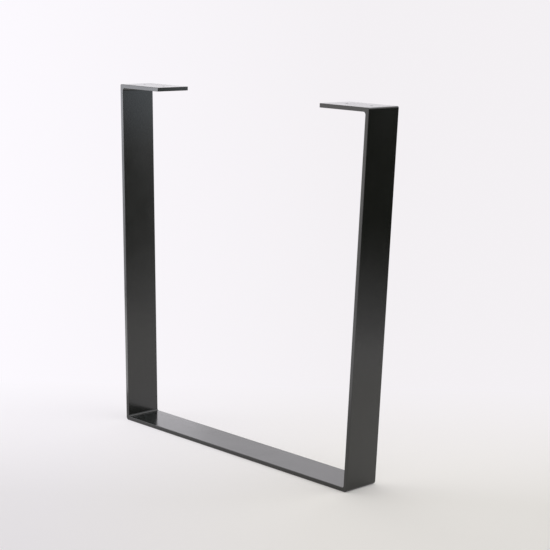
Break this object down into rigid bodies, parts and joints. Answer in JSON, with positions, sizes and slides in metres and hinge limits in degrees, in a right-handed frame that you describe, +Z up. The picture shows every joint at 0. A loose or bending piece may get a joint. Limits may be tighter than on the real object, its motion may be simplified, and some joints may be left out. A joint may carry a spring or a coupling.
{
  "type": "table leg frame",
  "caption": "Open U-shaped table leg folded from flat steel bar, slightly wider at the top, with inward flanges screwed under a table top.",
  "frame": {"origin": "on the floor, in the middle of the bottom run's underside", "axes": "+Z up along the leg's height, +X across the frame's width, +Y across the bar's width"},
  "size_m": [0.6898, 0.08, 0.71],
  "materials": {
    "powder_coat": "near-black satin powder coat with a very fine texture"
  },
  "bodies": {
    "root": {"leg_frame": "powder_coat"}
  },
  "joints": []
}
